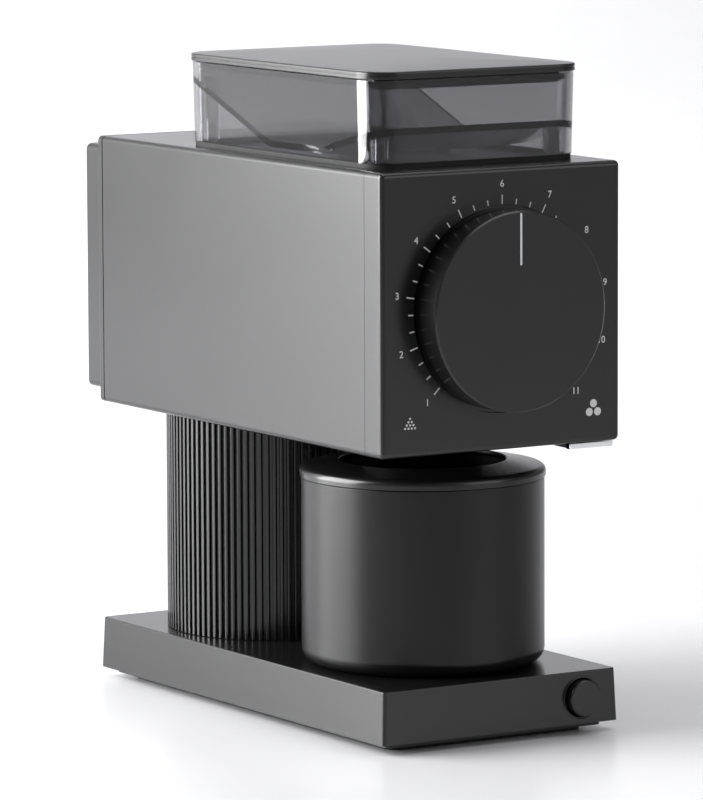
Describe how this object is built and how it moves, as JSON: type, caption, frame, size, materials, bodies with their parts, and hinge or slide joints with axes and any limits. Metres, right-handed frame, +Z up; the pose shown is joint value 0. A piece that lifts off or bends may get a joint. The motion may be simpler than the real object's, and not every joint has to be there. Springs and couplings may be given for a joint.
{
  "type": "electric flat burr coffee grinder",
  "caption": "Black electric coffee grinder: slab base, ribbed column, box housing, clear hopper, front dial, lidded catch cup, flat burrs and motor inside.",
  "frame": {"origin": "on the table under the centre of the base", "axes": "+Z up, -Y towards the dial side (front), +X to the right seen from the front"},
  "size_m": [0.106, 0.242, 0.2544],
  "materials": {
    "black_coated_shell": "matte black fine-texture powder coat",
    "dark_plastic": "moulded black plastic",
    "rubber": "matte black rubber",
    "zinc_steel": "zinc plated",
    "magnet": "dull grey",
    "circuit_board": "green solder mask",
    "components": "sleeved components",
    "smoke_clear": "smoky clear moulded plastic",
    "silver_inlay": "satin silver",
    "cast_aluminium": "die cast",
    "burr_steel": "ground hardened steel",
    "copper": "wound copper",
    "carbon": "pressed carbon",
    "fan_plastic": "moulded nylon",
    "chrome": "polished",
    "black_coated_cup": "satin black coat"
  },
  "bodies": {
    "root": {"base_cover": "black_coated_shell", "base_plate": "dark_plastic", "rubber_foot": "rubber", "base_screws": "zinc_steel", "base_magnets": "magnet", "button_bezel": "dark_plastic", "power_switch": "dark_plastic", "cord_gland": "rubber", "column_shell": "black_coated_shell", "column_top_plate": "dark_plastic", "tie_rods": "zinc_steel", "circuit_board": "circuit_board", "board_components": "components", "housing_sleeve": "black_coated_shell", "front_cover": "black_coated_shell", "rear_cover": "black_coated_shell", "vent_cap": "black_coated_shell", "housing_screws": "zinc_steel", "hopper": "smoke_clear", "hopper_gasket": "rubber", "hopper_screws": "zinc_steel", "detent_plunger": "zinc_steel", "detent_spring": "zinc_steel", "burr_chamber": "cast_aluminium", "front_bearing": "zinc_steel", "rear_bearing": "zinc_steel", "motor_mount": "cast_aluminium", "motor_screws": "zinc_steel", "motor_can": "zinc_steel", "motor_magnets": "magnet", "motor_brushes": "carbon", "motor_end_bell": "cast_aluminium", "chute": "dark_plastic", "chute_ring": "dark_plastic", "knocker_pin": "zinc_steel", "knocker_spring": "zinc_steel", "button_spring": "zinc_steel"},
    "lid": {"hopper_lid": "dark_plastic", "lid_seal": "rubber"},
    "dial": {"dial_knob": "dark_plastic", "dial_pointer": "silver_inlay", "adjusting_ring": "cast_aluminium"},
    "burr_setting": {"outer_burr_carrier": "cast_aluminium", "outer_burr": "burr_steel", "outer_burr_screws": "zinc_steel"},
    "rotor": {"inner_burr": "burr_steel", "inner_burr_screws": "zinc_steel", "inner_burr_carrier": "cast_aluminium", "auger": "burr_steel", "drive_shaft": "zinc_steel", "shaft_bolt": "zinc_steel", "armature": "copper", "commutator": "copper", "cooling_fan": "fan_plastic"},
    "knocker": {"knocker_lever": "dark_plastic", "knocker_tab": "chrome"},
    "button": {"power_button": "dark_plastic"},
    "cup": {"cup": "black_coated_cup", "cup_lid": "dark_plastic", "cup_magnets": "magnet"}
  },
  "joints": [
    {"name": "lid_lift", "type": "slide", "parent": "root", "child": "lid", "axis": [0, 0, 1], "range_m": [0, 0.06]},
    {"name": "dial_turn", "type": "hinge", "parent": "root", "child": "dial", "pos_m": [0, -0.107, 0.1642], "axis": [0, 1, 0], "range_deg": [-135, 135]},
    {"name": "burr_travel", "type": "slide", "parent": "root", "child": "burr_setting", "axis": [0, -1, 0], "range_m": [-0.00056, 0.00056]},
    {"name": "rotor_spin", "type": "hinge", "parent": "root", "child": "rotor", "pos_m": [0, 0, 0.1642], "axis": [0, 1, 0], "continuous": true},
    {"name": "knocker_pull", "type": "hinge", "parent": "root", "child": "knocker", "pos_m": [0.04055, -0.045, 0.1195], "axis": [1, 0, 0], "range_deg": [0, 4], "stiffness_Nm_per_rad": 3, "springref_deg": -2.86, "deforming": ["knocker_spring"]},
    {"name": "button_press", "type": "slide", "parent": "root", "child": "button", "axis": [0, 1, 0], "range_m": [0, 0.002], "stiffness_N_per_m": 400, "springref_m": -0.001, "deforming": ["button_spring"]},
    {"name": "cup_slide", "type": "slide", "parent": "root", "child": "cup", "axis": [0, -1, 0], "range_m": [0, 0.15]}
  ],
  "couplings": [
    {"joint": "dial_turn", "follows": "burr_travel", "rad_per_m": 4188.8}
  ]
}
